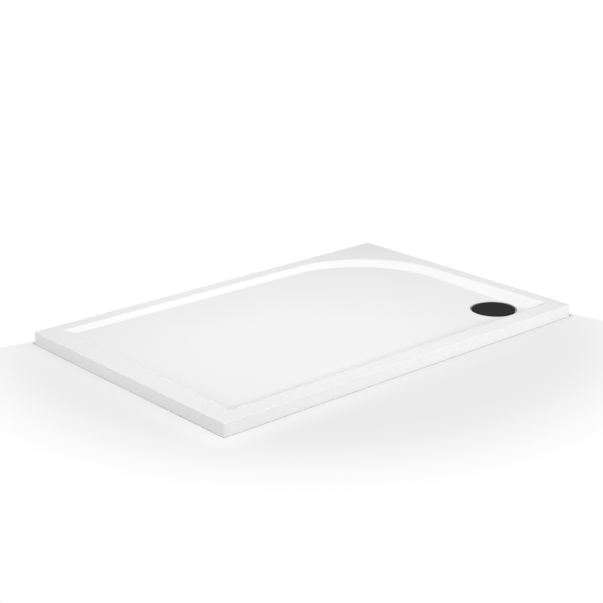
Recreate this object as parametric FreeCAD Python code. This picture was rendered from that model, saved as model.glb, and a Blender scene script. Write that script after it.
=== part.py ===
import FreeCAD, Part
import math
import os

# Extra-flat rectangular shower tray with a 90 mm waste and a lift-out trap.
# Millimetres, +Z up. The origin is the middle of the tray's underside, so z = 0 is the floor
# that the tray lies on, and the trap hangs below it in a pit.
# +X runs along the long side to the end with the waste, +Y to the back of the tray.

Vector = FreeCAD.Vector
UP = Vector(0, 0, 1)
BACK = Vector(0, 1, 0)

# ---- tray: outside --------------------------------------------------------------------------
tray_length = 1200.0
tray_width = 800.0
tray_height = 35.0
sheet = 4.0                      # acrylic sheet the shell is formed from
outer_corner_radius = 5.0        # upright corners
rim_edge_radius = 3.0            # top outer edge
open_rim_width = 52.0            # front and left, the sides that are stepped over
wall_rim_width = 40.0            # back and right, the sides that are sealed in place

# ---- tray: basin ----------------------------------------------------------------------------
slope_run = 30.0                 # width of the sloping side, seen from above
rim_corner_radius = 14.0         # three small corners, at the rim
foot_corner_radius = 10.0        # the same corners, at the floor
wall_corner_radius = 247.0       # the one large corner, at the back right
foot_blend_radius = 10.0         # where the slope runs into the floor
rim_blend_radius = 3.0           # where the rim turns into the slope
depth_at_waste = 18.5
fall_along_length = 0.005        # floor drop per mm towards the waste end
fall_along_width = 0.014         # floor drop per mm towards the front

# ---- tray: pocket for the waste ---------------------------------------------------------------
waste_from_right = 140.0
waste_from_front = 152.0
pocket_gap = 5.0                 # ring of water round the cover
pocket_depth = 12.0
pocket_edge_bevel = 1.5
pocket_foot_bevel = 3.0
waste_hole_radius = 45.0         # the standard 90 mm hole

# ---- tray: what stiffens it -------------------------------------------------------------------
board_thickness = 6.0
board_hole_margin = 2.0          # board and core stand clear of the pocket by this
bond_gap = 0.3                   # glue line between the layers
batten_margin = 3.0              # batten stops short of the rim's inner edge
corner_block_leg = 125.0

# ---- waste: clamped ring and seals --------------------------------------------------------------
gasket_thickness = 1.5
lower_gasket_thickness = 2.0
brim_inset = 2.0                 # the cover hides the brim
brim_thickness = 1.8
cup_gap = 1.5                    # cup of the ring inside the tray's hole
cup_wall = 1.5
ledge_thickness = 3.0
throat_radius = 31.5
screw_circle_radius = 36.7
screw_count = 4
screw_radius = 2.5
screw_length = 16.0
screw_head_radius = 4.5
screw_head_height = 2.5
screw_hole_gap = 0.25
screw_end_gap = 1.0

# ---- waste: trap body ---------------------------------------------------------------------------
clamp_ring_margin = 1.0          # wider than the brim above
clamp_ring_thickness = 4.0
clamp_gap = 0.5                  # ledge to trap body, taken up as the screws are tightened
pot_radius = 52.0
pot_wall = 3.0
pot_bottom_bevel = 3.5
collar_bore_radius = 30.5        # bore that the insert's seal closes against
collar_wall = 2.5
collar_depth = 13.0
pillar_radius = 6.0
pillar_depth = 17.0
screw_insert_width = 7.0         # across the flats of the six-sided bush
screw_insert_length = 8.0
gusset_count = 6
gusset_thickness = 3.0
gusset_margin = 1.0              # gusset stops short of the ring's edge
gusset_depth = 14.0
water_seal = 30.0                # depth of water that shuts off the drain air
pot_floor_gap = 6.0              # dip tube to the bottom of the pot

# ---- waste: outlet --------------------------------------------------------------------------------
outlet_axis_depth = 36.0         # below the tray's underside
outlet_bore_radius = 18.0
thread_radius = 23.8             # one and a half inch union thread, drawn plain
thread_end = 76.0                # from the waste's axis
thread_length = 18.0
thread_relief = 1.5              # neck behind the thread
outlet_washer_thickness = 3.0
tail_radius = 20.0               # 40 mm waste pipe
tail_neck_radius = 21.0          # thicker up to the stop for the pipe's socket
tail_collar_thickness = 4.0
tail_neck_length = 18.0
tail_length = 52.0               # what goes into the socket
nut_gap = 0.25
nut_wall = 4.0
nut_lip = 3.6
nut_run_out = 1.0                # thread left showing behind the nut
nut_grip_count = 10
nut_grip_height = 2.2
nut_grip_width = 5.0

# ---- waste: lift-out insert -------------------------------------------------------------------------
running_gap = 0.1                # between pieces that lift out and what they rest on
dip_radius = 27.0
dip_wall = 2.0
insert_rim_gap = 1.5             # insert's rim inside the ring's cup
insert_rim_thickness = 2.0
insert_funnel_radius = 28.5
insert_funnel_depth = 6.0
seal_section = 3.0               # width and height of the rubber ring
seal_lip_height = 1.4            # what is left of it at the sealing edge
seal_depth = 6.0                 # seal's middle below the top of the collar
seal_land = 4.0                  # barrel tapers to the tube over this length
barrel_gap = 0.4

# ---- waste: strainer and cover ------------------------------------------------------------------------
strainer_rim_radius = 38.0
strainer_wall = 1.6
basket_radius = 22.0
basket_depth = 22.0              # rim to the bottom
side_slot_count = 14
side_slot_width = 3.0
floor_slot_count = 8
floor_slot_start = 9.0           # from the strainer's axis
floor_slot_end = 17.5
hub_radius = 6.0
hub_bore_radius = 3.6
hub_height = 5.5                 # hub stands this far above the strainer's rim
cover_radius = 59.0
cover_thickness = 2.2
cover_depth = 4.6                # with the turned-down lip
cover_lip_wall = 2.0
cover_edge_bevel = 1.0
carrier_rib_count = 6
carrier_rib_width = 2.4
carrier_ring_radius = 30.0
carrier_ring_wall = 2.4
peg_gap = 0.1
peg_length = 10.0
clip_gap = 0.3                   # carrier inside the cover

# ---- places worked out from the sizes above -------------------------------------------------------------
half_length = tray_length / 2
half_width = tray_width / 2
waste_x = half_length - waste_from_right
waste_y = -half_width + waste_from_front
waste_axis = Vector(waste_x, waste_y, 0)
pocket_radius = cover_radius + pocket_gap
brim_radius = cover_radius - brim_inset
clamp_ring_radius = brim_radius + clamp_ring_margin
rim_underside = tray_height - sheet
pocket_floor = tray_height - depth_at_waste - pocket_depth
pocket_underside = pocket_floor - sheet
brim_underside = pocket_floor + gasket_thickness
brim_top = brim_underside + brim_thickness
cup_outer_radius = waste_hole_radius - cup_gap
cup_inner_radius = cup_outer_radius - cup_wall
deck_top = pocket_underside - lower_gasket_thickness
deck_underside = deck_top - clamp_ring_thickness
ledge_underside = deck_top + clamp_gap
ledge_top = ledge_underside + ledge_thickness
water_level = -outlet_axis_depth - outlet_bore_radius
dip_bottom = water_level - water_seal
pot_inner_bottom = dip_bottom - pot_floor_gap
pot_bottom = pot_inner_bottom - pot_wall
insert_rim_underside = ledge_top + running_gap
insert_rim_top = insert_rim_underside + insert_rim_thickness
insert_rim_radius = cup_inner_radius - insert_rim_gap
seal_outer_radius = collar_bore_radius - running_gap
seal_groove_radius = seal_outer_radius - seal_section
seal_height = deck_top - seal_depth
strainer_rim_underside = insert_rim_top + running_gap
strainer_rim_top = strainer_rim_underside + strainer_wall
hub_top = strainer_rim_top + hub_height
carrier_underside = hub_top + running_gap
cover_lip_bottom = carrier_underside
cover_top = cover_lip_bottom + cover_depth
cover_underside = cover_top - cover_thickness
outlet_axis_start = Vector(waste_x, waste_y, -outlet_axis_depth)
tail_start = thread_end + outlet_washer_thickness
collar_end = tail_start + tail_collar_thickness
tail_end = collar_end + tail_neck_length + tail_length


# ---- shared geometry ------------------------------------------------------------------------------------
def floor_height(x, y):
    """Height of the basin's floor, which falls evenly to the front and to the waste end."""
    level_at_waste = tray_height - depth_at_waste
    return level_at_waste + fall_along_length * (waste_x - x) + fall_along_width * (y - waste_y)


def rounded_wire(corners, height):
    """Closed level outline through right-angled corners (x, y, radius), each rounded by an arc."""
    points = [Vector(x, y, height) for x, y, radius in corners]
    arcs = []
    for index, (x, y, radius) in enumerate(corners):
        inward = (points[index] - points[index - 1]).normalize()
        outward = (points[(index + 1) % len(points)] - points[index]).normalize()
        centre = points[index] - inward * radius + outward * radius
        middle = centre + (inward - outward).normalize() * radius
        arc = Part.Arc(points[index] - inward * radius, middle, points[index] + outward * radius)
        arcs.append(arc.toShape())
    edges = []
    for index, arc in enumerate(arcs):
        edges.append(arc)
        following = arcs[(index + 1) % len(arcs)]
        edges.append(Part.makeLine(arc.Vertexes[-1].Point, following.Vertexes[0].Point))
    return Part.Wire(edges)


def basin_wire(inset, corner_radius, wall_radius, height):
    """Outline of the basin, inset from the rim's inner edge."""
    left = -half_length + open_rim_width + inset
    right = half_length - wall_rim_width - inset
    front = -half_width + open_rim_width + inset
    back = half_width - wall_rim_width - inset
    corners = [
        (right, front, corner_radius),
        (right, back, wall_radius),
        (left, back, corner_radius),
        (left, front, corner_radius),
    ]
    return rounded_wire(corners, height)


def prism(wire, height):
    """Upright solid on a level outline."""
    return Part.Face(wire).extrude(UP * height)


def level_block(x_low, x_high, y_low, y_high, z_low, z_high):
    corner = Vector(x_low, y_low, z_low)
    return Part.makeBox(x_high - x_low, y_high - y_low, z_high - z_low, corner)


def turned(profile):
    """Solid turned about the waste's axis from a closed outline of (radius, height) corners."""
    corners = [Vector(radius, 0, height) for radius, height in profile]
    outline = Part.makePolygon(corners + corners[:1])
    solid = Part.Face(outline).revolve(Vector(0, 0, 0), UP, 360)
    return solid.translated(waste_axis)


def upright_cylinder(radius, z_low, z_high, offset=Vector(0, 0, 0)):
    base = waste_axis + offset + UP * z_low
    return Part.makeCylinder(radius, z_high - z_low, base)


def upright_tube(outer_radius, inner_radius, z_low, z_high):
    outer = upright_cylinder(outer_radius, z_low, z_high)
    return outer.cut(upright_cylinder(inner_radius, z_low, z_high))


def outlet_cylinder(radius, start, end):
    """Round bar on the outlet's axis, between two distances from the waste's axis."""
    return Part.makeCylinder(radius, end - start, outlet_axis_start + BACK * start, BACK)


def around_waste(radius, count, first_angle=0.0):
    """Evenly spaced offsets on a circle round the waste's axis, with their angles in degrees."""
    places = []
    for index in range(count):
        angle = first_angle + 360.0 * index / count
        turn = math.radians(angle)
        places.append((Vector(radius * math.cos(turn), radius * math.sin(turn), 0), angle))
    return places


def radial_bar(inner_radius, outer_radius, width, z_low, z_high, angle):
    """Straight bar that points away from the waste's axis."""
    bar = level_block(inner_radius, outer_radius, -width / 2, width / 2, z_low, z_high)
    bar.rotate(Vector(0, 0, 0), UP, angle)
    return bar.translated(waste_axis)


def edges_where(shape, test):
    return [edge for edge in shape.Edges if test(edge)]


def export(name, shape):
    shape.exportStep("parts/" + name + ".step")


# ---- tray shell -------------------------------------------------------------------------------------------
def basin_hollow():
    """The basin's space: sloping sides from the rim down to a floor with a fall in two directions."""
    floor_corners = []
    for x, y in ((-1, -1), (1, -1), (1, 1), (-1, 1)):
        x_corner = x * half_length
        y_corner = y * half_width
        floor_corners.append(Vector(x_corner, y_corner, floor_height(x_corner, y_corner)))
    floor_plane = Part.Face(Part.makePolygon(floor_corners + floor_corners[:1]))
    foot_outline = basin_wire(slope_run, foot_corner_radius, wall_corner_radius - slope_run, 0)
    foot = floor_plane.common(prism(foot_outline, tray_height)).Faces[0]
    rim = basin_wire(0, rim_corner_radius, wall_corner_radius, tray_height)
    hollow = Part.makeLoft([foot.OuterWire, rim], True, True)

    def on_floor(edge):
        return all(abs(v.Z - floor_height(v.X, v.Y)) < 0.01 for v in edge.Vertexes)

    return hollow.makeFillet(foot_blend_radius, edges_where(hollow, on_floor))


def pocket_hollow(radius, bottom, foot_bevel):
    """Round space sunk in the floor for the waste, with a bevelled foot, up to the rim's height."""
    pocket = upright_cylinder(radius, bottom, tray_height)
    foot = edges_where(pocket, lambda edge: abs(edge.CenterOfMass.z - bottom) < 0.01)
    return pocket.makeChamfer(foot_bevel, foot)


def outer_block():
    corners = [
        (half_length, -half_width, outer_corner_radius),
        (half_length, half_width, outer_corner_radius),
        (-half_length, half_width, outer_corner_radius),
        (-half_length, -half_width, outer_corner_radius),
    ]
    block = prism(rounded_wire(corners, 0), tray_height)
    top = edges_where(block, lambda edge: all(abs(v.Z - tray_height) < 0.01 for v in edge.Vertexes))
    return block.makeFillet(rim_edge_radius, top)


def inner_block(clearance, z_low, z_high):
    """Space inside the apron, which the stiffening fills."""
    inset = sheet + clearance
    radius = outer_corner_radius - sheet
    corners = [
        (half_length - inset, -half_width + inset, radius),
        (half_length - inset, half_width - inset, radius),
        (-half_length + inset, half_width - inset, radius),
        (-half_length + inset, -half_width + inset, radius),
    ]
    return prism(rounded_wire(corners, z_low), z_high - z_low)


def tray_shell(hollow):
    """Formed sheet: apron, rim, sloping sides, floor and pocket, of one thickness."""
    shell = outer_block().cut(hollow)
    shell = shell.cut(pocket_hollow(pocket_radius, pocket_floor, pocket_foot_bevel))
    underside_radius = pocket_radius + sheet
    lowered = hollow.translated(UP * -sheet)
    lowered_pocket = pocket_hollow(underside_radius, pocket_underside, pocket_foot_bevel + sheet / 2)
    keep = lowered.fuse(lowered_pocket)
    shell = shell.cut(inner_block(0, 0, rim_underside).cut(keep))
    shell = shell.cut(upright_cylinder(waste_hole_radius, 0, tray_height))

    rim_outline = basin_wire(0, rim_corner_radius, wall_corner_radius, tray_height)

    def on_rim_outline(edge):
        on_top = all(abs(v.Z - tray_height) < 0.01 for v in edge.Vertexes)
        return on_top and all(rim_outline.distToShape(v)[0] < 0.01 for v in edge.Vertexes)

    def on_pocket_edge(edge):
        middle = edge.valueAt((edge.FirstParameter + edge.LastParameter) / 2)
        from_axis = math.hypot(middle.x - waste_x, middle.y - waste_y)
        above_foot = middle.z > pocket_floor + pocket_foot_bevel + 0.5
        at_waste = abs(from_axis - pocket_radius) < 0.01
        return at_waste and above_foot and edge.Curve.TypeId != "Part::GeomLine"

    shell = shell.makeFillet(rim_blend_radius, edges_where(shell, on_rim_outline))
    return shell.makeChamfer(pocket_edge_bevel, edges_where(shell, on_pocket_edge))


# ---- stiffening under the shell -----------------------------------------------------------------------------
board_hole_radius = pocket_radius + sheet + board_hole_margin
batten_low = board_thickness + bond_gap
batten_high = rim_underside - bond_gap
open_batten_width = open_rim_width - sheet - bond_gap - batten_margin
wall_batten_width = wall_rim_width - sheet - bond_gap - batten_margin
outer_x = half_length - sheet - bond_gap
outer_y = half_width - sheet - bond_gap
inner_left = -outer_x + open_batten_width
inner_right = outer_x - wall_batten_width
inner_front = -outer_y + open_batten_width
inner_back = outer_y - wall_batten_width


def base_board():
    board = inner_block(bond_gap, 0, board_thickness)
    return board.cut(upright_cylinder(board_hole_radius, 0, board_thickness))


def battens():
    """Rim battens, butted at the corners: the long ones run the full length."""
    pieces = {
        "front_rim_batten": (-outer_x, outer_x, -outer_y, inner_front),
        "back_rim_batten": (-outer_x, outer_x, inner_back, outer_y),
        "left_rim_batten": (-outer_x, inner_left, inner_front + bond_gap, inner_back - bond_gap),
        "right_rim_batten": (inner_right, outer_x, inner_front + bond_gap, inner_back - bond_gap),
    }
    inside = inner_block(bond_gap, batten_low, batten_high)
    shapes = {}
    for name, (x_low, x_high, y_low, y_high) in pieces.items():
        bar = level_block(x_low, x_high, y_low, y_high, batten_low, batten_high)
        shapes[name] = bar.common(inside)
    return shapes


def corner_block(clearance=0.0):
    """Three-cornered block under the wide part of the rim at the large corner."""
    x_corner = inner_right - bond_gap + clearance
    y_corner = inner_back - bond_gap + clearance
    leg = corner_block_leg + (2 + math.sqrt(2)) * clearance
    corners = [
        Vector(x_corner, y_corner, batten_low),
        Vector(x_corner - leg, y_corner, batten_low),
        Vector(x_corner, y_corner - leg, batten_low),
    ]
    outline = Part.makePolygon(corners + corners[:1])
    return prism(outline, batten_high - batten_low)


def foam_core(hollow):
    """Rigid foam that fills the space between the floor board and the formed sheet."""
    core = level_block(
        inner_left + bond_gap, inner_right - bond_gap,
        inner_front + bond_gap, inner_back - bond_gap,
        batten_low, batten_high)
    core = core.cut(hollow.translated(UP * -(sheet + bond_gap)))
    core = core.cut(corner_block(bond_gap))
    return core.cut(upright_cylinder(board_hole_radius, 0, tray_height))


# ---- clamped ring, seals and screws ---------------------------------------------------------------------------
def upper_gasket():
    return upright_tube(brim_radius, waste_hole_radius, pocket_floor, brim_underside)


def lower_gasket():
    return upright_tube(clamp_ring_radius, waste_hole_radius, deck_top, pocket_underside)


def screw_places():
    return around_waste(screw_circle_radius, screw_count, 45)


def waste_ring():
    """Pressed steel ring: brim on the tray, cup through the hole, ledge for the screws."""
    ring = turned([
        (cup_inner_radius, brim_top),
        (brim_radius, brim_top),
        (brim_radius, brim_underside),
        (cup_outer_radius, brim_underside),
        (cup_outer_radius, ledge_underside),
        (throat_radius, ledge_underside),
        (throat_radius, ledge_top),
        (cup_inner_radius, ledge_top),
    ])
    for offset, angle in screw_places():
        hole_radius = screw_radius + screw_hole_gap
        hole = upright_cylinder(hole_radius, ledge_underside, ledge_top, offset)
        sink = Part.makeCone(
            hole_radius, screw_head_radius + screw_hole_gap, screw_head_height,
            waste_axis + offset + UP * (ledge_top - screw_head_height))
        ring = ring.cut(hole).cut(sink)
    return ring


def flange_screws():
    """Four countersunk screws, flush with the ledge."""
    screws = []
    for offset, angle in screw_places():
        shank_top = ledge_top - screw_head_height
        shank = upright_cylinder(screw_radius, ledge_top - screw_length, shank_top, offset)
        head = Part.makeCone(
            screw_radius, screw_head_radius, screw_head_height,
            waste_axis + offset + UP * shank_top)
        screws.append(shank.fuse(head))
    return Part.makeCompound(screws)


def bush_bars():
    """Six-sided bars where the brass bushes sit in the trap's pillars."""
    low = deck_underside - screw_insert_length
    half_diagonal = screw_insert_width / 2 / math.cos(math.radians(30))
    bars = []
    for offset, angle in screw_places():
        corners = []
        for index in range(6):
            turn = math.radians(60 * index)
            across = Vector(math.cos(turn), math.sin(turn), 0) * half_diagonal
            corners.append(waste_axis + offset + across + UP * low)
        outline = Part.makePolygon(corners + corners[:1])
        bars.append(prism(outline, screw_insert_length))
    return bars


def screw_inserts():
    """Brass bushes moulded into the trap's pillars, which the screws bite into."""
    bushes = []
    for bar, (offset, angle) in zip(bush_bars(), screw_places()):
        hole_radius = screw_radius + screw_hole_gap
        low = deck_underside - screw_insert_length
        bushes.append(bar.cut(upright_cylinder(hole_radius, low, deck_underside, offset)))
    return Part.makeCompound(bushes)


# ---- trap body --------------------------------------------------------------------------------------------------
def bevelled_pot(radius, bottom, bevel, top):
    pot = upright_cylinder(radius, bottom, top)
    foot = edges_where(pot, lambda edge: abs(edge.CenterOfMass.z - bottom) < 0.01)
    return pot.makeChamfer(bevel, foot)


def gusset(angle):
    """Three-cornered web under the clamping ring."""
    reach = clamp_ring_radius - gusset_margin
    inner = pot_radius - pot_wall / 2
    low = deck_underside - gusset_depth
    corners = [
        Vector(inner, -gusset_thickness / 2, low),
        Vector(inner, -gusset_thickness / 2, deck_underside),
        Vector(reach, -gusset_thickness / 2, deck_underside),
        Vector(pot_radius, -gusset_thickness / 2, low),
    ]
    web = Part.Face(Part.makePolygon(corners + corners[:1])).extrude(BACK * gusset_thickness)
    web.rotate(Vector(0, 0, 0), UP, angle)
    return web.translated(waste_axis)


def trap_body():
    """Moulded pot with a clamping ring, a sealing collar, screw pillars and a threaded outlet."""
    thread_start = thread_end - thread_length
    body = bevelled_pot(pot_radius, pot_bottom, pot_bottom_bevel, deck_underside)
    body = body.fuse(upright_cylinder(clamp_ring_radius, deck_underside, deck_top))
    for offset, angle in around_waste(pot_radius, gusset_count, 180.0 / gusset_count):
        body = body.fuse(gusset(angle))
    body = body.fuse(outlet_cylinder(thread_radius - thread_relief, 0, thread_start))
    body = body.fuse(outlet_cylinder(thread_radius, thread_start, thread_end))

    inside = upright_cylinder(pot_radius - pot_wall, pot_inner_bottom, deck_underside)
    inside = inside.cut(upright_cylinder(
        collar_bore_radius + collar_wall, deck_top - collar_depth, deck_underside))
    for offset, angle in screw_places():
        inside = inside.cut(upright_cylinder(
            pillar_radius, deck_top - pillar_depth, deck_underside, offset))
    body = body.cut(inside)
    body = body.cut(outlet_cylinder(outlet_bore_radius, collar_bore_radius, thread_end))
    body = body.cut(upright_cylinder(
        collar_bore_radius, deck_top - collar_depth, deck_top))
    for bush, (offset, angle) in zip(bush_bars(), screw_places()):
        hole_bottom = ledge_top - screw_length - screw_end_gap
        body = body.cut(bush)
        body = body.cut(upright_cylinder(
            screw_radius + screw_hole_gap, hole_bottom, deck_top, offset))
    return body


# ---- outlet -----------------------------------------------------------------------------------------------------
def outlet_washer():
    washer = outlet_cylinder(thread_radius - nut_gap, thread_end, tail_start)
    return washer.cut(outlet_cylinder(outlet_bore_radius, thread_end, tail_start))


def outlet_tail():
    """Pipe tail: a collar that the union nut pulls up, a neck through the nut, and a spigot."""
    tail = outlet_cylinder(thread_radius - nut_gap, tail_start, collar_end)
    tail = tail.fuse(outlet_cylinder(tail_neck_radius, collar_end, collar_end + tail_neck_length))
    tail = tail.fuse(outlet_cylinder(tail_radius, collar_end + tail_neck_length, tail_end))
    return tail.cut(outlet_cylinder(outlet_bore_radius, tail_start, tail_end))


def outlet_nut():
    """Union nut with finger grips, over the thread and the tail's collar."""
    nut_start = thread_end - thread_length + nut_run_out
    nut_end = collar_end + nut_gap + nut_lip
    outer = thread_radius + nut_gap + nut_wall
    nut = outlet_cylinder(outer, nut_start, nut_end)
    for index in range(nut_grip_count):
        grip = Part.makeBox(
            nut_grip_width, nut_end - nut_start, outer + nut_grip_height,
            Vector(-nut_grip_width / 2, nut_start, 0))
        grip.rotate(Vector(0, 0, 0), BACK, 360.0 * index / nut_grip_count)
        nut = nut.fuse(grip.translated(outlet_axis_start))
    nut = nut.cut(outlet_cylinder(thread_radius + nut_gap, nut_start, collar_end + nut_gap))
    return nut.cut(outlet_cylinder(tail_neck_radius + nut_gap, nut_start, nut_end))


# ---- lift-out insert ----------------------------------------------------------------------------------------------
def trap_insert():
    """Dip tube that hangs from its rim in the ring's cup and makes the water seal."""
    dip_inner = dip_radius - dip_wall
    barrel_radius = collar_bore_radius - barrel_gap
    groove_high = seal_height + seal_section / 2
    groove_low = seal_height - seal_section / 2
    barrel_low = groove_low - seal_land
    return turned([
        (insert_funnel_radius, insert_rim_top),
        (insert_rim_radius, insert_rim_top),
        (insert_rim_radius, insert_rim_underside),
        (barrel_radius, insert_rim_underside),
        (barrel_radius, groove_high),
        (seal_groove_radius, groove_high),
        (seal_groove_radius, groove_low),
        (barrel_radius, groove_low),
        (dip_radius, barrel_low),
        (dip_radius, dip_bottom),
        (dip_inner, dip_bottom),
        (dip_inner, insert_rim_top - insert_funnel_depth),
    ])


def insert_seal():
    """Rubber ring in the insert's groove, thinner at its sealing edge."""
    return turned([
        (seal_groove_radius, seal_height - seal_section / 2),
        (seal_outer_radius, seal_height - seal_lip_height / 2),
        (seal_outer_radius, seal_height + seal_lip_height / 2),
        (seal_groove_radius, seal_height + seal_section / 2),
    ])


# ---- strainer -------------------------------------------------------------------------------------------------------
def hair_strainer():
    """Slotted basket that hangs in the insert's funnel, with a hub that is also its handle."""
    basket_bottom = strainer_rim_top - basket_depth
    inner = basket_radius - strainer_wall
    strainer = turned([
        (0, basket_bottom),
        (basket_radius, basket_bottom),
        (basket_radius, strainer_rim_underside),
        (strainer_rim_radius, strainer_rim_underside),
        (strainer_rim_radius, strainer_rim_top),
        (inner, strainer_rim_top),
        (inner, basket_bottom + strainer_wall),
        (hub_radius, basket_bottom + strainer_wall),
        (hub_radius, hub_top),
        (0, hub_top),
    ])
    slot_low = basket_bottom + 2 * strainer_wall
    slot_high = strainer_rim_underside - 2 * strainer_wall
    for offset, angle in around_waste(basket_radius, side_slot_count):
        strainer = strainer.cut(radial_bar(
            inner - strainer_wall, basket_radius + strainer_wall, side_slot_width,
            slot_low, slot_high, angle))
    for offset, angle in around_waste(floor_slot_end, floor_slot_count):
        strainer = strainer.cut(radial_bar(
            floor_slot_start, floor_slot_end, side_slot_width,
            basket_bottom, basket_bottom + strainer_wall, angle))
    return strainer.cut(upright_cylinder(
        hub_bore_radius, hub_top - peg_length - 2 * strainer_wall, hub_top))


# ---- cover ----------------------------------------------------------------------------------------------------------
def waste_cover():
    """Round flat cap with a bevelled edge and a turned-down lip."""
    lip_inner = cover_radius - cover_lip_wall
    return turned([
        (0, cover_underside),
        (lip_inner, cover_underside),
        (lip_inner, cover_lip_bottom),
        (cover_radius, cover_lip_bottom),
        (cover_radius, cover_top - cover_edge_bevel),
        (cover_radius - cover_edge_bevel, cover_top),
        (0, cover_top),
    ])


def cover_carrier():
    """Ribbed plastic spider that clips inside the cover and plugs into the strainer's hub."""
    top = cover_underside - clip_gap
    arm_end = cover_radius - cover_lip_wall - clip_gap
    carrier = upright_tube(
        carrier_ring_radius, carrier_ring_radius - carrier_ring_wall, carrier_underside, top)
    carrier = carrier.fuse(upright_cylinder(hub_radius, carrier_underside, top))
    for offset, angle in around_waste(arm_end, carrier_rib_count):
        carrier = carrier.fuse(radial_bar(
            0, arm_end, carrier_rib_width, carrier_underside, top, angle))
    rounded_end = upright_cylinder(arm_end, carrier_underside, top)
    carrier = carrier.common(rounded_end)
    peg = upright_cylinder(hub_bore_radius - peg_gap, hub_top - peg_length, top)
    return carrier.fuse(peg)


# ---- files ------------------------------------------------------------------------------------------------------------
os.makedirs("parts", exist_ok=True)
basin = basin_hollow()
export("tray_shell", tray_shell(basin))
export("foam_core", foam_core(basin))
export("base_board", base_board())
for batten_name, batten in battens().items():
    export(batten_name, batten)
export("corner_block", corner_block())
export("upper_gasket", upper_gasket())
export("lower_gasket", lower_gasket())
export("waste_ring", waste_ring())
export("flange_screws", flange_screws())
export("screw_inserts", screw_inserts())
export("trap_body", trap_body())
export("outlet_washer", outlet_washer())
export("outlet_tail", outlet_tail())
export("outlet_nut", outlet_nut())
export("trap_insert", trap_insert())
export("insert_seal", insert_seal())
export("hair_strainer", hair_strainer())
export("waste_cover", waste_cover())
export("cover_carrier", cover_carrier())
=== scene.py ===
import math
import bpy
from mathutils import Matrix, Vector


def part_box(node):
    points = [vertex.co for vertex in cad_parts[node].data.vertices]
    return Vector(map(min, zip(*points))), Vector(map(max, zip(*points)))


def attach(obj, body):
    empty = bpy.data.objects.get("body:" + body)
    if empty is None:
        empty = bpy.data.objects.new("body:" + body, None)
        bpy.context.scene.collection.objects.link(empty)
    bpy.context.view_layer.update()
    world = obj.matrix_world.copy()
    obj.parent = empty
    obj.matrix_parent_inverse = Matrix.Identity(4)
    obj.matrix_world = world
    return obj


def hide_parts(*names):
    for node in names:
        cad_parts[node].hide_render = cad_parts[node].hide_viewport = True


# Extra-flat shower tray with a round waste, seen from outside its front left corner.
# Metres, +Z up. The origin is the middle of the tray's underside, on the floor.
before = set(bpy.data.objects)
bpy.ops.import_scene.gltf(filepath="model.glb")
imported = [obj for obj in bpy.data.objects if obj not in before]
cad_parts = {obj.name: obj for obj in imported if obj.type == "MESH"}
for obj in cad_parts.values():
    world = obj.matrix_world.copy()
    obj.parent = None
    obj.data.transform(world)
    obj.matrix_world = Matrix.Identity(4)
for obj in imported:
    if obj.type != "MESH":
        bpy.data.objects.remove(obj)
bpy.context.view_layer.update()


# ---- Tray ---------------------------------------------------------------------------------------
# One sheet of white acrylic, heated and drawn over a mould: apron, flat rim, short sloping sides,
# a floor that falls to the waste and a round pocket for it. The sheet is glossy and close to
# even, with the faint ripple that drawing leaves.
tray_low, tray_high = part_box("tray_shell")
cover_low, cover_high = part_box("waste_cover")
waste = ((cover_low + cover_high) / 2).xy       # upright axis of the waste, from above
tray_height = tray_high.z
sheet = 0.004                    # thickness
apron_corner = 0.005
rim_edge = 0.0018
front_rim = 0.052                # front and left
back_rim = 0.040                 # back and right
slope_run = 0.030                # width of the sloping side, from above
rim_corners = (0.014, 0.287, 0.014, 0.014)      # front right, back right, back left, front left
foot_corners = (0.010, 0.287, 0.010, 0.010)
rim_blend = 0.030                # where the rim turns into the slope
foot_blend = 0.028               # where the slope runs into the basin's floor
depth_at_waste = 0.0185
fall_along_length = 0.005
fall_along_width = 0.014
pocket_radius = 0.064
pocket_floor = 0.0045            # above the floor that the tray lies on
pocket_edge = 0.0015
pocket_foot = 0.003
waste_hole_radius = 0.045
trim_gap = 0.0004                # the sheet is trimmed just short of the floor
trim_edge = 0.0006
hole_edge = 0.0004
corner_steps = (12, 60, 12, 12)
rim_edge_steps = 6
edge_steps = 5
foot_steps = 10
hole_steps = 2
spoke_turn = math.radians(3)     # between points of a straight side, as seen from the waste


def basin_floor(place):
    """Height of the basin's floor at a place, seen from above."""
    away = place - waste
    drop = fall_along_length * away.x - fall_along_width * away.y
    return tray_height - depth_at_waste - drop


def corner_arcs(left, right, front, back, radii):
    """Quarter rounds of a rectangle's corners, in the order of the corners' radii."""
    arcs = []
    for corner, (x, y) in enumerate(((right, front), (right, back), (left, back), (left, front))):
        radius = radii[corner]
        across = radius if x == left else -radius
        along = radius if y == front else -radius
        centre = Vector((x + across, y + along))
        arc = []
        for step in range(corner_steps[corner] + 1):
            turn = math.radians(90 * (corner - 1 + step / corner_steps[corner]))
            arc.append(centre + radius * Vector((math.cos(turn), math.sin(turn))))
        arcs.append(arc)
    return arcs


def basin_arcs(inset, radii):
    """Corners of the basin's outline, as far in from the rim's inner edge as the inset."""
    left, front = tray_low.x + front_rim + inset, tray_low.y + front_rim + inset
    right, back = tray_high.x - back_rim - inset, tray_high.y - back_rim - inset
    return corner_arcs(left, right, front, back, radii)


def side_shares(start, end):
    """Shares of the way along a straight side that lie at even turns round the waste."""
    first, last = start - waste, end - waste
    steps = math.ceil(first.angle(last) / spoke_turn)
    shares = []
    for step in range(1, steps):
        turn = first.angle(last) * step / steps
        ray = Matrix.Rotation(turn, 2) @ first
        shares.append(first.cross(ray) / (first - last).cross(ray))
    return shares


foot_arcs = basin_arcs(slope_run, foot_corners)
shares_of_side = []
for corner, arc in enumerate(foot_arcs):
    shares_of_side.append(side_shares(arc[-1], foot_arcs[(corner + 1) % 4][0]))


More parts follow.
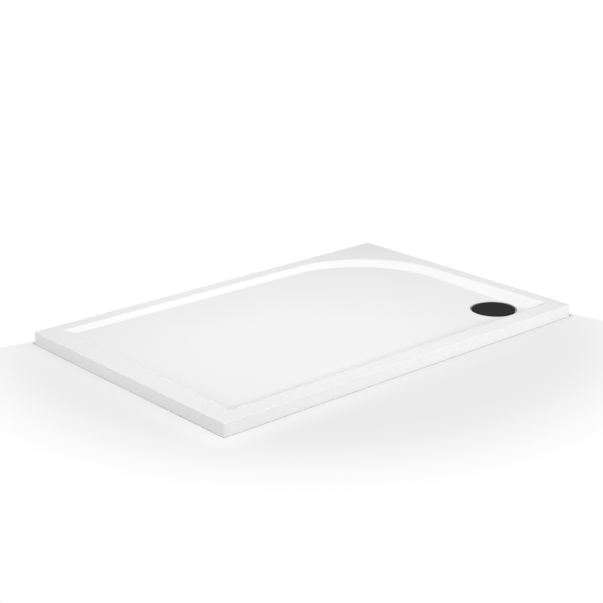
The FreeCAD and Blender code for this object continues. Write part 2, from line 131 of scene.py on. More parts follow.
def loop(arcs):
    """All points of a rounded outline, the same number of them at every size."""
    points = []
    for side, arc in enumerate(arcs):
        following = arcs[(side + 1) % 4][0]
        points += arc + [arc[-1].lerp(following, share) for share in shares_of_side[side]]
    return points


def apron_loop(inset, height):
    """The tray's outline at a height, moved in by the inset."""
    low, high = tray_low.xy + Vector((inset, inset)), tray_high.xy - Vector((inset, inset))
    arcs = corner_arcs(low.x, high.x, low.y, high.y, [apron_corner - inset] * 4)
    return [point.to_3d() + Vector((0, 0, height)) for point in loop(arcs)]


def round_off(corner, back, ahead, reach, steps):
    """Points of the curve that takes off a corner, from one straight stretch to the next."""
    start, end = corner + back * reach, corner + ahead * reach
    points = []
    for step in range(steps + 1):
        part = step / steps
        points.append(start.lerp(corner, part).lerp(corner.lerp(end, part), part))
    return points


def side_section(rim_point, foot_point):
    """Points down the basin's side, from the flat of the rim to the basin's floor."""
    top = rim_point.to_3d() + Vector((0, 0, tray_height))
    foot = foot_point.to_3d() + Vector((0, 0, basin_floor(foot_point)))
    inward = (foot_point - rim_point).normalized()
    down = (foot - top).normalized()
    fall = fall_along_width * inward.y - fall_along_length * inward.x
    onward = Vector((inward.x, inward.y, fall)).normalized()
    inward = inward.to_3d()
    rim_reach = rim_blend * math.tan(down.angle(inward) / 2)
    foot_reach = foot_blend * math.tan(down.angle(onward) / 2)
    return (round_off(top, -inward, down, rim_reach, edge_steps)
            + round_off(foot, -down, onward, foot_reach, foot_steps))


def pocket_section(foot_point):
    """Points from the basin's floor down into the pocket and over the edge of its hole."""
    outward = (foot_point - waste).normalized()
    lip = waste + outward * pocket_radius
    top = lip.to_3d() + Vector((0, 0, basin_floor(lip)))
    bottom = lip.to_3d() + Vector((0, 0, pocket_floor))
    hole = (waste + outward * waste_hole_radius).to_3d() + Vector((0, 0, pocket_floor))
    rise = fall_along_width * outward.y - fall_along_length * outward.x
    along_floor = Vector((outward.x, outward.y, rise)).normalized()
    outward, up = outward.to_3d(), Vector((0, 0, 1))
    return (round_off(top, along_floor, -up, pocket_edge, edge_steps)
            + round_off(bottom, up, -outward, pocket_foot, edge_steps)
            + round_off(hole, outward, -up, hole_edge, hole_steps))


rim_points, foot_points = loop(basin_arcs(0, rim_corners)), loop(foot_arcs)
apron_rings = [apron_loop(trim_edge, trim_gap), apron_loop(0, trim_gap + trim_edge)]
for step in range(rim_edge_steps + 1):
    turn = math.radians(90 * step / rim_edge_steps)
    inset = rim_edge * (1 - math.cos(turn))
    apron_rings.append(apron_loop(inset, tray_height - rim_edge * (1 - math.sin(turn))))
side_rings = [list(ring) for ring in zip(*map(side_section, rim_points, foot_points))]
pocket_rings = [list(ring) for ring in zip(*map(pocket_section, foot_points))]


def under_pocket(radius, height):
    """Ring of the sheet's underside near the pocket. Without a height it is under the basin."""
    ring = []
    for foot_point in foot_points:
        place = waste + (foot_point - waste).normalized() * radius
        level = basin_floor(place) - sheet if height is None else height
        ring.append(place.to_3d() + Vector((0, 0, level)))
    return ring


underside_radius = pocket_radius + sheet
underside_bevel = pocket_foot + sheet / 2
under_rings = [
    under_pocket(waste_hole_radius, pocket_floor - sheet),
    under_pocket(underside_radius - underside_bevel, pocket_floor - sheet),
    under_pocket(underside_radius, pocket_floor - sheet + underside_bevel),
    under_pocket(underside_radius, None),
]
lowered = Vector((0, 0, -sheet))
under_rings += [[point + lowered for point in ring] for ring in reversed(side_rings)]
under_rings += [apron_loop(sheet, tray_height - sheet), apron_loop(sheet, trim_gap)]


def skin(name, rings, ends):
    """Mesh of quads between rings of points. Its ends are "joined", "filled" or "last filled"."""
    count = len(rings[0])
    faces = []
    if ends == "filled":
        faces.append(tuple(reversed(range(count))))
    if ends != "joined":
        faces.append(tuple(range(len(rings) * count - count, len(rings) * count)))
    for ring in range(len(rings) if ends == "joined" else len(rings) - 1):
        low, high = ring * count, (ring + 1) % len(rings) * count
        for point in range(count):
            following = (point + 1) % count
            faces.append((low + point, low + following, high + following, high + point))
    mesh = bpy.data.meshes.new(name)
    mesh.from_pydata([point for ring in rings for point in ring], [], faces)
    mesh.shade_smooth()
    mesh.set_sharp_from_angle(angle=math.radians(40))
    made = bpy.data.objects.new(name, mesh)
    bpy.context.scene.collection.objects.link(made)
    return made


def even_shading(piece):
    """Lets the large faces set the shading, so that flats look flat right up to their edges."""
    modifier = piece.modifiers.new("even shading", "WEIGHTED_NORMAL")
    modifier.keep_sharp = True
    modifier.weight = 100


tray_skin = skin("tray_skin", apron_rings + side_rings + pocket_rings + under_rings, "joined")
even_shading(tray_skin)


def add(tree, kind, inputs, **settings):
    """Node of a material or group. An input is a plain value, or the socket that feeds it."""
    node = tree.nodes.new(kind)
    for setting, value in settings.items():
        setattr(node, setting, value)
    for name, value in inputs.items():
        if isinstance(value, bpy.types.NodeSocket):
            tree.links.new(value, node.inputs[name])
        else:
            node.inputs[name].default_value = value
    return node


def new_group(name, inputs):
    """Surface group with its sockets. Returns it with the sockets that bring its inputs."""
    group = bpy.data.node_groups.new(name, "ShaderNodeTree")
    for label, (kind, value) in inputs.items():
        socket = group.interface.new_socket(label, in_out="INPUT", socket_type="NodeSocket" + kind)
        socket.default_value = value
    for label, kind in (("Colour", "Color"), ("Roughness", "Float"), ("Height", "Float")):
        group.interface.new_socket(label, in_out="OUTPUT", socket_type="NodeSocket" + kind)
    return group, group.nodes.new("NodeGroupInput").outputs


def put_out(group, colour, roughness, height):
    """Ends a surface group with what it gives to a material."""
    add(group, "NodeGroupOutput", {"Colour": colour, "Roughness": roughness, "Height": height})
    return group


def new_finish(name, values):
    """Material with one shader. What is the same all over is set on the shader's own sockets."""
    finish = bpy.data.materials.new(name)
    finish.use_nodes = True
    shader = finish.node_tree.nodes["Principled BSDF"]
    for socket, value in values.items():
        shader.inputs[socket].default_value = value
    return finish, finish.node_tree, shader


def coat(tree, shader, colour, roughness, height, depth):
    """Feeds the shader a colour, a roughness and a relief that is as deep as depth says."""
    relief = add(tree, "ShaderNodeBump", {"Height": height, "Distance": depth, "Strength": 1.0})
    tree.links.new(colour, shader.inputs["Base Color"])
    tree.links.new(roughness, shader.inputs["Roughness"])
    tree.links.new(relief.outputs["Normal"], shader.inputs["Normal"])


def coat_with(tree, shader, group, inputs, depth):
    """Coats the shader with what a surface group puts out."""
    surface = add(tree, "ShaderNodeGroup", inputs, node_tree=group)
    coat(tree, shader, surface.outputs["Colour"], surface.outputs["Roughness"],
         surface.outputs["Height"], depth)


def moulded_surface():
    """Plastic as it leaves a mould: slow change of tone, uneven gloss and a fine skin."""
    group, given = new_group("moulded surface", {
        "Colour": ("Color", (0.8, 0.8, 0.8, 1)), "Tone Change": ("Float", 0.05),
        "Roughness": ("Float", 0.3), "Gloss Change": ("Float", 0.1),
        "Broad Scale": ("Float", 6.0), "Fine Scale": ("Float", 600.0),
    })
    place = add(group, "ShaderNodeTexCoord", {}).outputs["Object"]
    broad = add(group, "ShaderNodeTexNoise", {
        "Vector": place, "Scale": given["Broad Scale"], "Detail": 3.0, "Roughness": 0.5})
    fine = add(group, "ShaderNodeTexNoise", {
        "Vector": place, "Scale": given["Fine Scale"], "Detail": 2.0, "Roughness": 0.6})
    both = add(group, "ShaderNodeMath", {
        0: broad.outputs["Fac"], 1: fine.outputs["Fac"]}, operation="ADD")
    centred = add(group, "ShaderNodeMath", {0: both.outputs[0], 1: 1.0}, operation="SUBTRACT")
    tone = add(group, "ShaderNodeMath", {
        0: centred.outputs[0], 1: given["Tone Change"], 2: 1.0}, operation="MULTIPLY_ADD")
    colour = add(group, "ShaderNodeVectorMath", {
        0: given["Colour"], "Scale": tone.outputs[0]}, operation="SCALE")
    gloss = add(group, "ShaderNodeMath", {
        0: centred.outputs[0], 1: given["Gloss Change"], 2: given["Roughness"]},
        operation="MULTIPLY_ADD")
    return put_out(group, colour.outputs[0], gloss.outputs[0], fine.outputs["Fac"])


moulded = moulded_surface()


def moulded_finish(name, values, depth, inputs):
    """Plastic or rubber made with the moulded surface. Its fine skin has the given depth."""
    finish, tree, shader = new_finish(name, values)
    coat_with(tree, shader, moulded, inputs, depth)
    return finish


acrylic = moulded_finish(
    "white acrylic", {"IOR": 1.49}, depth=0.000003, inputs={
        "Colour": (0.93, 0.93, 0.93, 1), "Tone Change": 0.02, "Roughness": 0.2,
        "Gloss Change": 0.08, "Broad Scale": 3.0, "Fine Scale": 500.0})
tray_skin.data.materials.append(acrylic)
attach(tray_skin, "tray")
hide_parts("tray_shell")


# ---- Stiffening under the sheet -----------------------------------------------------------------
# A flat fibre board that the tray lies on, rigid foam that fills the space up to the sheet, and
# softwood battens and a corner block glued in under the rim. None of it shows once the tray lies.
sawn_edge = 0.0004


def soften(name, width):
    """Takes the sharp edges off a piece that keeps its solid's shape."""
    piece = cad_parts[name]
    weld = piece.modifiers.new("join faces", "WELD")
    weld.merge_threshold = 0.000001
    bevel = piece.modifiers.new("soft edges", "BEVEL")
    bevel.width = width
    bevel.segments = 2
    bevel.angle_limit = math.radians(35)
    even_shading(piece)


def dress(names, finish, edge):
    """Gives pieces their material and the rounding of their edges."""
    for name in names:
        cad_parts[name].material_slots[0].material = finish
        soften(name, edge)


def timber_grain():
    """Planed softwood: year rings as long streaks, with fine pores. Place runs along x."""
    group, given = new_group("timber grain", {
        "Place": ("Vector", (0, 0, 0)), "Early Wood": ("Color", (0.8, 0.6, 0.4, 1)),
        "Late Wood": ("Color", (0.5, 0.3, 0.2, 1)), "Rings": ("Float", 6.0),
    })
    rings = add(group, "ShaderNodeTexWave", {
        "Vector": given["Place"], "Scale": given["Rings"], "Distortion": 5.0, "Detail": 3.0,
        "Detail Scale": 1.5}, bands_direction="DIAGONAL")
    pores = add(group, "ShaderNodeTexNoise", {
        "Vector": given["Place"], "Scale": 60.0, "Detail": 4.0, "Roughness": 0.7})
    streak = add(group, "ShaderNodeMath", {
        0: pores.outputs["Fac"], 1: 0.5, 2: rings.outputs["Fac"]}, operation="MULTIPLY_ADD")
    share = add(group, "ShaderNodeMapRange", {
        "Value": streak.outputs[0], "From Min": 0.3, "From Max": 1.3, "To Min": 0.0, "To Max": 1.0})
    colour = add(group, "ShaderNodeMix", {
        0: share.outputs["Result"], 6: given["Early Wood"], 7: given["Late Wood"]},
        data_type="RGBA")
    rough = add(group, "ShaderNodeMapRange", {
        "Value": pores.outputs["Fac"], "To Min": 0.5, "To Max": 0.8})
    return put_out(group, colour.outputs[2], rough.outputs["Result"], streak.outputs[0])


timber = timber_grain()


def softwood(name, turn):
    """Batten wood with its grain along x, or turned to run along y."""
    finish, tree, shader = new_finish(name, {"IOR": 1.45})
    place = add(tree, "ShaderNodeTexCoord", {}).outputs["Object"]
    along = add(tree, "ShaderNodeMapping", {
        "Vector": place, "Rotation": (0, 0, turn), "Scale": (2.0, 30.0, 30.0)},
        vector_type="POINT")
    coat_with(tree, shader, timber, {
        "Place": along.outputs["Vector"], "Early Wood": (0.72, 0.52, 0.30, 1),
        "Late Wood": (0.50, 0.31, 0.15, 1), "Rings": 2.2}, depth=0.00008)
    return finish


def pressed_board():
    """Fibre board: short chips pressed flat, with darker specks."""
    finish, tree, shader = new_finish("fibre board", {"IOR": 1.4})
    place = add(tree, "ShaderNodeTexCoord", {}).outputs["Object"]
    chips = add(tree, "ShaderNodeTexVoronoi", {"Vector": place, "Scale": 420.0})
    fibres = add(tree, "ShaderNodeTexNoise", {
        "Vector": place, "Scale": 330.0, "Detail": 6.0, "Roughness": 0.75})
    chip = add(tree, "ShaderNodeSeparateColor", {0: chips.outputs["Color"]})
    share = add(tree, "ShaderNodeMath", {
        0: chip.outputs[0], 1: fibres.outputs["Fac"]}, operation="MULTIPLY")
    colour = add(tree, "ShaderNodeValToRGB", {"Fac": share.outputs[0]})
    colour.color_ramp.elements[0].color = (0.40, 0.28, 0.17, 1)
    colour.color_ramp.elements[1].color = (0.62, 0.47, 0.30, 1)
    colour.color_ramp.elements[1].position = 0.6
    rough = add(tree, "ShaderNodeMapRange", {
        "Value": fibres.outputs["Fac"], "To Min": 0.65, "To Max": 0.9})
    coat(tree, shader, colour.outputs["Color"], rough.outputs["Result"],
         fibres.outputs["Fac"], depth=0.0002)
    return finish


def fine_foam():
    """Rigid foam, cut through its cells: small dimples with painted shade at their bottoms, and a
    dusty, slightly uneven tone.
    """
    finish, tree, shader = new_finish("rigid foam", {"IOR": 1.4})
    place = add(tree, "ShaderNodeTexCoord", {}).outputs["Object"]
    cells = add(tree, "ShaderNodeTexVoronoi", {"Vector": place, "Scale": 450.0})
    tone = add(tree, "ShaderNodeTexNoise", {"Vector": place, "Scale": 14.0, "Detail": 4.0})
    # Painted shade: the colour is darker towards the bottom of each cell's dimple.
    depth = add(tree, "ShaderNodeMapRange", {
        "Value": cells.outputs["Distance"], "From Max": 0.7, "To Min": 0.55, "To Max": 1.0})
    share = add(tree, "ShaderNodeMath", {
        0: depth.outputs["Result"], 1: tone.outputs["Fac"]}, operation="MULTIPLY")
    colour = add(tree, "ShaderNodeValToRGB", {"Fac": share.outputs[0]})
    colour.color_ramp.elements[0].color = (0.52, 0.45, 0.30, 1)
    colour.color_ramp.elements[1].color = (0.90, 0.84, 0.68, 1)
    colour.color_ramp.elements[1].position = 0.7
    rough = add(tree, "ShaderNodeMapRange", {
        "Value": tone.outputs["Fac"], "To Min": 0.8, "To Max": 0.95})
    coat(tree, shader, colour.outputs["Color"], rough.outputs["Result"],
         cells.outputs["Distance"], depth=0.0005)
    return finish


dress(["base_board"], pressed_board(), sawn_edge)
dress(["foam_core"], fine_foam(), sawn_edge)
wood_along, wood_across = softwood("softwood", 0), softwood("softwood across", math.pi / 2)
dress(["front_rim_batten", "back_rim_batten", "corner_block"], wood_along, sawn_edge)
dress(["left_rim_batten", "right_rim_batten"], wood_across, sawn_edge)


# ---- Waste ring and gaskets ---------------------------------------------------------------------
# Pressed stainless ring that clamps the tray between two rubber gaskets. Its brim lies in the
# pocket, its cup goes down through the hole, and four screws pull up the trap from its ledge.
fine_edge = 0.0003               # on rings, gaskets and small mouldings


def turned_metal():
    """Metal as the lathe leaves it: very fine lines round the waste's axis."""
    group, given = new_group("turned metal", {
        "Colour": ("Color", (0.6, 0.6, 0.6, 1)), "Roughness": ("Float", 0.3),
        "Axis": ("Vector", (0, 0, 0)), "Lines": ("Float", 900.0),
    })
    place = add(group, "ShaderNodeTexCoord", {}).outputs["Object"]
    away = add(group, "ShaderNodeVectorMath", {0: place, 1: given["Axis"]}, operation="SUBTRACT")
    flat = add(group, "ShaderNodeVectorMath", {
        0: away.outputs[0], 1: (1, 1, 0)}, operation="MULTIPLY")
    radius = add(group, "ShaderNodeVectorMath", {0: flat.outputs[0]}, operation="LENGTH")
    height = add(group, "ShaderNodeSeparateXYZ", {0: place})
    across = add(group, "ShaderNodeMath", {
        0: radius.outputs["Value"], 1: height.outputs["Z"]}, operation="ADD")
    lines = add(group, "ShaderNodeTexNoise", {
        "W": across.outputs[0], "Scale": given["Lines"], "Detail": 3.0, "Roughness": 0.7},
        noise_dimensions="1D")
    marks = add(group, "ShaderNodeTexNoise", {"Vector": place, "Scale": 120.0, "Detail": 3.0})
    both = add(group, "ShaderNodeMath", {
        0: lines.outputs["Fac"], 1: marks.outputs["Fac"]}, operation="ADD")
    tone = add(group, "ShaderNodeMapRange", {
        "Value": both.outputs[0], "From Min": 0.6, "From Max": 1.4, "To Min": 0.75, "To Max": 1.2})
    colour = add(group, "ShaderNodeVectorMath", {
        0: given["Colour"], "Scale": tone.outputs["Result"]}, operation="SCALE")
    rough = add(group, "ShaderNodeMath", {
        0: tone.outputs["Result"], 1: given["Roughness"]}, operation="MULTIPLY")
    return put_out(group, colour.outputs[0], rough.outputs[0], lines.outputs["Fac"])


lathe_lines = turned_metal()


def metal_finish(name, colour, roughness):
    """Metal with its lathe lines round the waste's axis."""
    finish, tree, shader = new_finish(name, {"Metallic": 1.0})
    coat_with(tree, shader, lathe_lines, {
        "Colour": colour, "Roughness": roughness, "Axis": waste.to_3d()}, depth=0.00002)
    return finish


stainless = metal_finish("stainless steel", (0.42, 0.42, 0.43, 1), roughness=0.40)
rubber = moulded_finish(
    "black rubber", {"IOR": 1.5, "Specular IOR Level": 0.35}, depth=0.00003, inputs={
        "Colour": (0.03, 0.03, 0.03, 1), "Tone Change": 0.5, "Roughness": 0.7,
        "Gloss Change": 0.2, "Broad Scale": 40.0, "Fine Scale": 1800.0})
dress(["waste_ring"], stainless, fine_edge)
dress(["upper_gasket", "lower_gasket", "outlet_washer", "insert_seal"], rubber, fine_edge)


# ---- Screws and bushes --------------------------------------------------------------------------
# Four countersunk steel screws with six-sided sockets, flush with the ledge of the ring. They bite
# into brass bushes that are moulded into the trap.
screw_circle = 0.0367
screw_radius = 0.0025
screw_head_radius = 0.0045
screw_head_height = 0.0025
screw_edge = 0.0002
socket_half_width = 0.0015
socket_depth = 0.0018
thread_pitch = 0.0008
thread_depth = 0.0004
thread_start = 0.0035            # below the top of the head
thread_tip = 0.4                 # share of its radius that the screw has at its very tip
screw_steps = 24                 # points round the screw
rows_per_turn = 6                # rings of points in each turn of the thread
screw_low, screw_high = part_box("flange_screws")


def screw_ring(centre, height, radius_at):
    """Ring round a screw, whose radius may change with the turn."""
    ring = []
    for step in range(screw_steps):
        turn = math.tau * step / screw_steps
        radius = radius_at(turn)
        ring.append(centre + Vector((radius * math.cos(turn), radius * math.sin(turn), height)))
    return ring


def socket_radius(turn):
    """Distance from the screw's axis to its six-sided socket."""
    sixth = math.tau / 6
    return socket_half_width / math.cos(turn % sixth - sixth / 2)


def screw_rings(centre):
    """From the tip up the thread, over the head and down to the bottom of the socket."""
    top, tip = screw_high.z, screw_low.z
    rows = round((top - thread_start - tip) / thread_pitch * rows_per_turn)
    rings = []
    for row in range(rows + 1):
        height = tip + (top - thread_start - tip) * row / rows

        def thread_radius(turn):
            phase = (height / thread_pitch - turn / math.tau) % 1
            taper = min(1, (height - tip) / thread_pitch + thread_tip)
            return (screw_radius - thread_depth * abs(2 * phase - 1)) * taper

        rings.append(screw_ring(centre, height, thread_radius))
    for radius, height in (
            (screw_radius, top - thread_start + screw_edge),
            (screw_radius, top - screw_head_height),
            (screw_head_radius, top - screw_edge),
            (screw_head_radius - screw_edge / 2, top)):
        rings.append(screw_ring(centre, height, lambda turn: radius))
    rings.append(screw_ring(centre, top, socket_radius))
    rings.append(screw_ring(centre, top - socket_depth, socket_radius))
    return rings


for quarter in range(4):
    turn = math.radians(45 + 90 * quarter)
    centre = (waste + screw_circle * Vector((math.cos(turn), math.sin(turn)))).to_3d()
    screw = skin("flange_screw_" + str(quarter + 1), screw_rings(centre), "filled")
    screw.data.materials.append(stainless)
    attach(screw, "tray")
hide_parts("flange_screws")
brass = metal_finish("turned brass", (0.78, 0.58, 0.26, 1), roughness=0.32)
dress(["screw_inserts"], brass, fine_edge)


# ---- Trap and outlet ----------------------------------------------------------------------------
# Pot moulded in pale grey polypropylene, with a side outlet. A black union nut pulls the pipe tail
# up against a rubber washer. Moulded pieces have softly rounded edges and an eggshell skin.
moulded_edge = 0.0006
pale_moulding = {"IOR": 1.49, "Subsurface Weight": 0.08}
dark_moulding = {"IOR": 1.49, "Specular IOR Level": 0.4}
trap_plastic = moulded_finish(
    "pale polypropylene", pale_moulding, depth=0.00003, inputs={
        "Colour": (0.80, 0.81, 0.82, 1), "Tone Change": 0.06, "Roughness": 0.42,
        "Gloss Change": 0.15, "Broad Scale": 18.0, "Fine Scale": 900.0})
nut_plastic = moulded_finish(
    "black polypropylene", dark_moulding, depth=0.00003, inputs={
        "Colour": (0.035, 0.035, 0.038, 1), "Tone Change": 0.3, "Roughness": 0.5,
        "Gloss Change": 0.15, "Broad Scale": 40.0, "Fine Scale": 1100.0})
dress(["trap_body", "outlet_tail"], trap_plastic, moulded_edge)
dress(["outlet_nut"], nut_plastic, moulded_edge)


# ---- Lift-out insert and strainer ---------------------------------------------------------------
# The insert is a dip tube that hangs in the ring and makes the water seal. The strainer's slotted
# basket hangs in its funnel and is lifted by its hub. Both are dark grey moulded plastic.
insert_plastic = moulded_finish(
    "dark grey plastic", dark_moulding, depth=0.00003, inputs={
        "Colour": (0.075, 0.078, 0.085, 1), "Tone Change": 0.15, "Roughness": 0.4,
        "Gloss Change": 0.15, "Broad Scale": 40.0, "Fine Scale": 1100.0})
dress(["trap_insert", "hair_strainer"], insert_plastic, fine_edge)


# ---- Waste cover --------------------------------------------------------------------------------
# Round flat cap of satin black plastic, with a soft edge and a turned-down lip. It is moulded in
# one piece, and the water runs in under its lip, all round.
cover_radius = (cover_high.x - cover_low.x) / 2
cover_middle_radius = 0.03       # inside it the cap is one flat plate
cover_lip_wall = 0.002
cover_plate = 0.0022
cover_edge = 0.0018
cover_inner_round = 0.0006
cover_lip_round = 0.0004
cover_top = cover_high.z
cover_lip_bottom = cover_low.z
turn_steps = 144


def turned(name, profile):
    """Object turned about the waste's axis from (radius, height) points, flat at both ends."""
    rings = []
    for radius, height in profile:
        ring = []
        for step in range(turn_steps):
            turn = math.tau * step / turn_steps
            place = waste + radius * Vector((math.cos(turn), math.sin(turn)))
            ring.append(place.to_3d() + Vector((0, 0, height)))
        rings.append(ring)
    piece = skin(name, rings, "filled")
    even_shading(piece)
    return piece


def cap_profile():
    """From the middle of the underside, down the lip, out, and up over the edge."""
    inner = cover_radius - cover_lip_wall
    underside = cover_top - cover_plate
    corners = [
        (cover_middle_radius, underside, 0),
        (inner, underside, cover_inner_round),
        (inner, cover_lip_bottom, cover_lip_round),
        (cover_radius, cover_lip_bottom, cover_lip_round),
        (cover_radius, cover_top, cover_edge),
        (cover_middle_radius, cover_top, 0),
    ]
    profile = []
    for index, (radius, height, rounding) in enumerate(corners):
        corner = Vector((radius, height))
        if rounding == 0:
            profile.append(corner)
        else:
            before = (Vector(corners[index - 1][:2]) - corner).normalized()
            after = (Vector(corners[index + 1][:2]) - corner).normalized()
            profile += round_off(corner, before, after, rounding, edge_steps)
    return profile


cover_cap = turned("cover_cap", cap_profile())
cover_black = moulded_finish(
    "satin black", {"IOR": 1.45, "Specular IOR Level": 0.03}, depth=0.00001, inputs={
        "Colour": (0.010, 0.010, 0.010, 1), "Tone Change": 0.2, "Roughness": 0.55,
        "Gloss Change": 0.1, "Broad Scale": 30.0, "Fine Scale": 1500.0})
cover_cap.data.materials.append(cover_black)
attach(cover_cap, "cover")
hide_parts("waste_cover")
dress(["cover_carrier"], nut_plastic, fine_edge)


# ---- Floor and light ----------------------------------------------------------------------------
# Pale floor with a pit for the trap. Near the tray it is a painted shadow pool: grey paint, which
# also takes the tray's real shadow, in a round pool, with painted light in a strip beside the
# tray's front and left and a narrow painted shade along its back and right. It is white further off
# and
# behind. Soft light: an even sky, a large lamp high behind the tray, a low one each at its front
# and left, and one that hangs over the basin.
floor_reach = 40.0
shadow_pool_start, shadow_pool_end = 0.61, 1.01         # from the tray's middle
shadow_pool_share = 0.38                         # how much of the grey paint shows where the painted shadow pool is darkest
painted_shade_behind = 0.03                       # width of the soft painted shade along the back and right
painted_shade_spread = 0.25                       # how fast it widens past the tray's ends
painted_light_strip = 0.09                          # width of the painted light, a lighter strip of floor along the front and left
painted_light_length = 1.2                          # how far it runs from the corner between them
painted_light_share = 0.42                          # how much of the grey it takes away
pit_side = 0.1                            # from the waste to the pit's left, right and front
pit_back = 0.2                            # and to its back, under the outlet
pit_depth = 0.13
sky_level = 0.16                          # how much light the sky gives


def level_rectangle(low, high, height):
    """Corners of a level rectangle."""
    return [Vector((low.x, low.y, height)), Vector((high.x, low.y, height)),
            Vector((high.x, high.y, height)), Vector((low.x, high.y, height))]


floor_edge = Vector((floor_reach, floor_reach))
pit_low = waste - Vector((pit_side, pit_side))
pit_high = waste + Vector((pit_side, pit_back))
floor = skin("floor", [
    level_rectangle(-floor_edge, floor_edge, 0),
    level_rectangle(pit_low, pit_high, 0),
    level_rectangle(pit_low, pit_high, -pit_depth),
], "last filled")


def background_rays(tree):
    """1 for the rays that see a plain white background, 0 for those that bring light."""
    rays = add(tree, "ShaderNodeLightPath", {})
    seen = add(tree, "ShaderNodeMath", {
        0: rays.outputs["Is Camera Ray"], 1: rays.outputs["Is Glossy Ray"]}, operation="ADD")
    seen = add(tree, "ShaderNodeMath", {
        0: seen.outputs[0], 1: rays.outputs["Is Transmission Ray"]},
        operation="ADD", use_clamp=True)
    return seen.outputs[0]


def white_in_front(tree, place, distance):
    """Share of white in the painted shadow pool, with more of it, as painted light, in the strip
    beside the tray.
    """
    from_middle = add(tree, "ShaderNodeVectorMath", {0: place}, operation="LENGTH")
    # Painted shadow pool: grey near the tray, fading to white away from its middle.
    shadow_pool = add(tree, "ShaderNodeMapRange", {
        "Value": from_middle.outputs["Value"], "From Min": shadow_pool_start, "From Max": shadow_pool_end,
        "To Min": 1 - shadow_pool_share, "To Max": 1.0}, interpolation_type="SMOOTHSTEP")
    # Painted light: more white shows in a strip beside the tray's front and left, lightening the
    # shade there.
    strip = add(tree, "ShaderNodeMapRange", {
        "Value": distance, "From Max": painted_light_strip, "To Min": painted_light_share * shadow_pool_share,
        "To Max": 0.0}, interpolation_type="SMOOTHSTEP")
    from_corner = add(tree, "ShaderNodeVectorMath", {
        0: place, 1: tray_low.xy.to_3d()}, operation="DISTANCE")
    strip_end = add(tree, "ShaderNodeMapRange", {
        "Value": from_corner.outputs["Value"], "From Max": painted_light_length, "To Min": 1.0,
        "To Max": 0.0}, interpolation_type="SMOOTHSTEP")
    white = add(tree, "ShaderNodeMath", {
        0: strip.outputs["Result"], 1: strip_end.outputs["Result"],
        2: shadow_pool.outputs["Result"]}, operation="MULTIPLY_ADD", use_clamp=True)
    return white.outputs[0]


def white_behind(tree, place, short_of_tray):
    """Share of white past the tray's back and right, across a soft painted shade along them."""
    past_tray = add(tree, "ShaderNodeVectorMath", {
        0: place, 1: tray_high.xy.to_3d()}, operation="SUBTRACT")
    ends = add(tree, "ShaderNodeSeparateXYZ", {0: short_of_tray})
    past_end = add(tree, "ShaderNodeCombineXYZ", {
        "X": ends.outputs["Y"], "Y": ends.outputs["X"]})
    width = add(tree, "ShaderNodeVectorMath", {
        0: past_end.outputs[0], 1: (painted_shade_spread,) * 3, 2: (painted_shade_behind,) * 3},
        operation="MULTIPLY_ADD")
    across = add(tree, "ShaderNodeVectorMath", {
        0: past_tray.outputs[0], 1: width.outputs[0]}, operation="DIVIDE")
    sides = add(tree, "ShaderNodeSeparateXYZ", {0: across.outputs[0]})
    furthest = add(tree, "ShaderNodeMath", {
        0: sides.outputs["X"], 1: sides.outputs["Y"]}, operation="MAXIMUM")
    white = add(tree, "ShaderNodeMapRange", {
        "Value": furthest.outputs[0]}, interpolation_type="SMOOTHSTEP")
    return white.outputs["Result"]


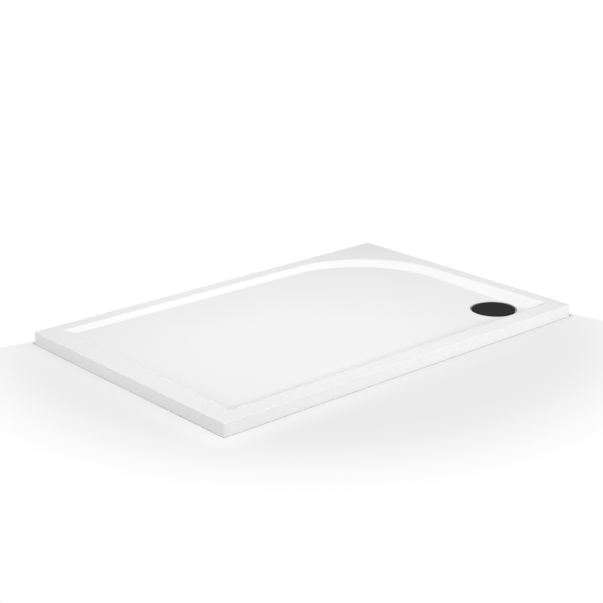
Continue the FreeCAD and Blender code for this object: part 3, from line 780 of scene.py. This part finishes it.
def floor_finish():
    """Grey paint near the tray as painted shade, that fades to a white which only looks white and
    gives no light.
    """
    finish = bpy.data.materials.new("pale floor")
    finish.use_nodes = True
    tree = finish.node_tree
    tree.nodes.remove(tree.nodes["Principled BSDF"])
    place = add(tree, "ShaderNodeTexCoord", {}).outputs["Object"]
    to_tray = add(tree, "ShaderNodeVectorMath", {
        0: tray_low.xy.to_3d(), 1: place}, operation="SUBTRACT")
    short_of_tray = add(tree, "ShaderNodeVectorMath", {
        0: to_tray.outputs[0], 1: (0, 0, 0)}, operation="MAXIMUM")
    distance = add(tree, "ShaderNodeVectorMath", {0: short_of_tray.outputs[0]}, operation="LENGTH")
    outside = add(tree, "ShaderNodeMath", {
        0: distance.outputs["Value"], 1: 0.0}, operation="GREATER_THAN")
    in_front = add(tree, "ShaderNodeMath", {
        0: white_in_front(tree, place, distance.outputs["Value"]), 1: outside.outputs[0]},
        operation="MULTIPLY")
    white_share = add(tree, "ShaderNodeMath", {
        0: in_front.outputs[0], 1: white_behind(tree, place, short_of_tray.outputs[0])},
        operation="MAXIMUM")
    seen_white = add(tree, "ShaderNodeMath", {
        0: white_share.outputs[0], 1: background_rays(tree)}, operation="MULTIPLY")
    # Painted shade: grey paint that shows in the shadow pool and along the tray's edges, where it
    # also takes the real shadow.
    shade_paint = add(tree, "ShaderNodeBsdfDiffuse", {"Color": (0.62, 0.62, 0.62, 1)})
    white = add(tree, "ShaderNodeEmission", {"Color": (1, 1, 1, 1), "Strength": 1.0})
    mix = add(tree, "ShaderNodeMixShader", {
        0: seen_white.outputs[0], 1: shade_paint.outputs[0], 2: white.outputs[0]})
    tree.links.new(mix.outputs[0], tree.nodes["Material Output"].inputs["Surface"])
    return finish


floor.data.materials.append(floor_finish())

world = bpy.data.worlds.new("studio")
bpy.context.scene.world = world
world.use_nodes = True
sky = world.node_tree
level = add(sky, "ShaderNodeMapRange", {
    "Value": background_rays(sky), "To Min": sky_level, "To Max": 1.0})
sky.nodes["Background"].inputs["Color"].default_value = (1, 1, 1, 1)
sky.links.new(level.outputs["Result"], sky.nodes["Background"].inputs["Strength"])


def lamp(name, place, aim, width, depth, power):
    """Large soft lamp at a place, which points at its aim. Its power is in watts."""
    light = bpy.data.lights.new(name, "AREA")
    light.shape = "RECTANGLE"
    light.size = width
    light.size_y = depth
    light.energy = power
    made = bpy.data.objects.new(name, light)
    made.location = place
    made.rotation_euler = (Vector(aim) - Vector(place)).to_track_quat("-Z", "Y").to_euler()
    bpy.context.scene.collection.objects.link(made)


lamp("high back lamp", place=(1.9, 2.7, 3.6), aim=(0, 0, 0), width=3.5, depth=2.5, power=38)
lamp("low front lamp", place=(0.7, -3.7, 1.5), aim=(0.1, -0.3, 0), width=1.8, depth=1.4, power=94)
lamp("low left lamp", place=(-3.9, 0.2, 1.0), aim=(-0.6, 0, 0), width=1.6, depth=1.0, power=55)
lamp("hanging lamp", place=(-0.1, 0, 1.2), aim=(-0.1, 0, 0), width=1.2, depth=0.6, power=6.4)

# The camera looks down across the tray from outside its front left corner.
camera_place = Vector((-2.4274, -2.7801, 1.3506))
heading = math.radians(40.868)            # from straight back, towards the waste end
tilt = math.radians(18.977)               # down from level
roll = math.radians(-0.522)
camera_data = bpy.data.cameras.new("camera")
camera_data.lens = 87.69
camera_data.sensor_width = 36
camera = bpy.data.objects.new("camera", camera_data)
bpy.context.scene.collection.objects.link(camera)
camera.matrix_world = (
    Matrix.Translation(camera_place)
    @ Matrix.Rotation(-heading, 4, "Z")
    @ Matrix.Rotation(math.radians(90) - tilt, 4, "X")
    @ Matrix.Rotation(roll, 4, "Z"))
bpy.context.scene.camera = camera
bpy.context.scene.view_settings.view_transform = "Standard"
